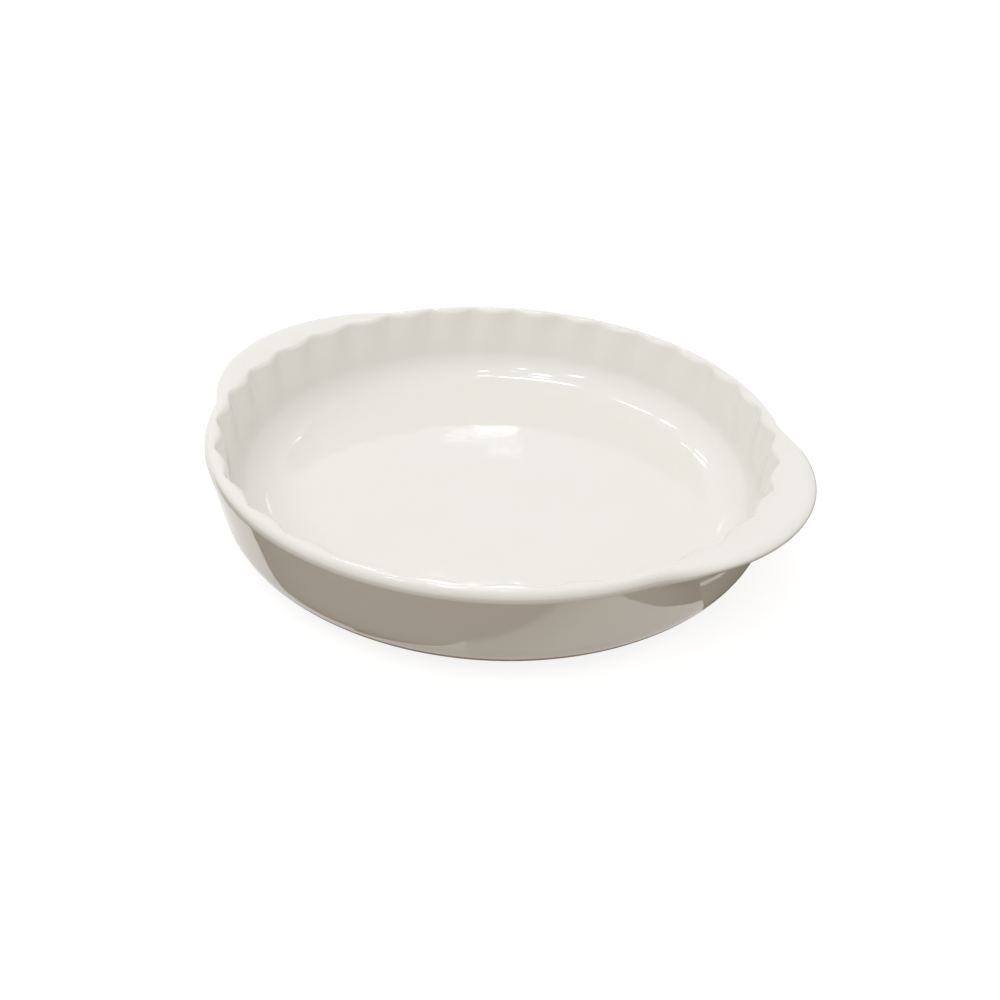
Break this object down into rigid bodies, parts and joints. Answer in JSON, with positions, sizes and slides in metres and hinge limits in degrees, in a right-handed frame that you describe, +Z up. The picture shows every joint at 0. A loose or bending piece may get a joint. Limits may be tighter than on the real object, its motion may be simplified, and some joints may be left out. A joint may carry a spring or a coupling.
{
  "type": "pie dish",
  "caption": "Round white glazed ceramic pie dish with a fluted inner wall, scalloped rim edge, plain tapered outside, flat ear handles and a bare foot ring.",
  "frame": {"origin": "centre of the foot ring, on the surface that the dish stands on", "axes": "+Z up out of the dish, +X through the middle of one ear, +Y across the ears"},
  "size_m": [0.286, 0.26, 0.0476],
  "materials": {
    "white_glaze": "glossy",
    "bare_clay": "matte"
  },
  "bodies": {
    "root": {"dish_body": "white_glaze", "ear_right": "white_glaze", "ear_left": "white_glaze", "foot_ring": "bare_clay"}
  },
  "joints": []
}
